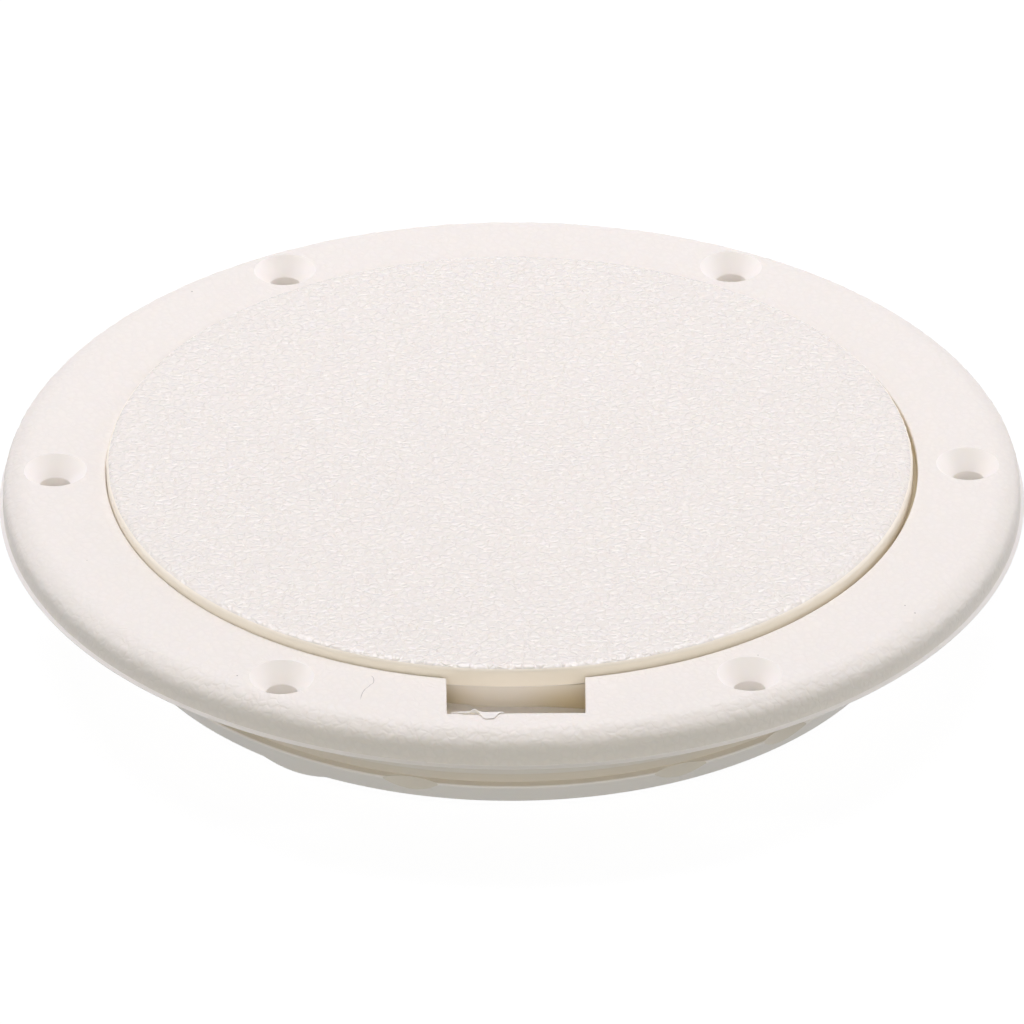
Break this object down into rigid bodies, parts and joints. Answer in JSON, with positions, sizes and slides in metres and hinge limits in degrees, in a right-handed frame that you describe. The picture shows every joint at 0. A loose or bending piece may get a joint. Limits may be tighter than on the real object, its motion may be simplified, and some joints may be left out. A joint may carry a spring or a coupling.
{
  "type": "deck inspection plate",
  "caption": "Round deck inspection plate: countersunk flange ring with a pry slot and a grooved collar, and a press-in lid with a seal ring.",
  "frame": {"origin": "centre of the flange's underside, on the deck plane", "axes": "+Z out of the deck along the plate's axis, -Y towards the pry slot, +X to the right of the slot"},
  "size_m": [0.144, 0.144, 0.0225],
  "materials": {
    "ring_plastic": "off-white moulded plastic with a fine pebble grain",
    "lid_plastic": "off-white moulded plastic with a fine pebble grain",
    "seal_rubber": "black rubber, slightly satin"
  },
  "bodies": {
    "ring": {"deck_ring": "ring_plastic"},
    "lid": {"lid": "lid_plastic", "seal_ring": "seal_rubber"}
  },
  "joints": [
    {"name": "lid_lift", "type": "slide", "parent": "ring", "child": "lid", "axis": [0, 0, 1], "range_m": [0, 0.03]}
  ]
}
